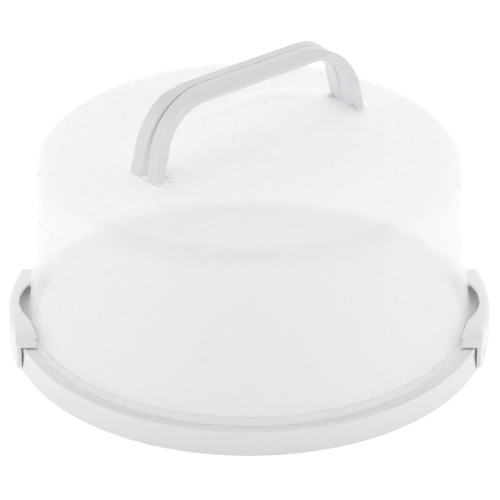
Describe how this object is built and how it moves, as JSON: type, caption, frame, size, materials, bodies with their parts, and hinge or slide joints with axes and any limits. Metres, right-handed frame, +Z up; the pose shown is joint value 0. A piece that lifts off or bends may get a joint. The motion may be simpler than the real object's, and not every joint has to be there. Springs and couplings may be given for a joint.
{
  "type": "cake carrier",
  "caption": "Round cake carrier: a white tray, a frosted see-through dome lid held by side latches, and a carrying handle in two folding halves.",
  "frame": {"origin": "centre of the face that the tray stands on", "axes": "+X towards the right latch, as seen from the front; +Z up. The handle's span is turned 39 degrees from +X towards +Y"},
  "size_m": [0.3046, 0.2998, 0.1892],
  "materials": {
    "tray": "satin moulded white polypropylene",
    "lid": "frosted, see-through moulded polypropylene",
    "latch": "satin moulded white polypropylene",
    "handle": "satin moulded white polypropylene"
  },
  "bodies": {
    "tray": {"tray": "tray"},
    "lid": {"lid": "lid"},
    "latch_left": {"latch_left": "latch"},
    "latch_right": {"latch_right": "latch"},
    "handle_front": {"handle_front": "handle"},
    "handle_rear": {"handle_rear": "handle"}
  },
  "joints": [
    {"name": "lid_lift", "type": "slide", "parent": "tray", "child": "lid", "axis": [0, 0, 1], "range_m": [0, 0.042]},
    {"name": "latch_left_swing", "type": "hinge", "parent": "tray", "child": "latch_left", "pos_m": [-0.149, 0, 0.0034], "axis": [0, -1, 0], "range_deg": [0, 90]},
    {"name": "latch_right_swing", "type": "hinge", "parent": "tray", "child": "latch_right", "pos_m": [0.149, 0, 0.0034], "axis": [0, 1, 0], "range_deg": [0, 90]},
    {"name": "handle_front_fold", "type": "hinge", "parent": "lid", "child": "handle_front", "pos_m": [0.00686, -0.00847, 0.1398], "axis": [0.7771, 0.6293, 0], "range_deg": [0, 75]},
    {"name": "handle_rear_fold", "type": "hinge", "parent": "lid", "child": "handle_rear", "pos_m": [-0.00686, 0.00847, 0.1398], "axis": [-0.7771, -0.6293, 0], "range_deg": [0, 75]}
  ],
  "couplings": [
    {"joint": "latch_left_swing", "follows": "lid_lift", "rad_per_m": 37.4},
    {"joint": "latch_right_swing", "follows": "lid_lift", "rad_per_m": 37.4}
  ]
}
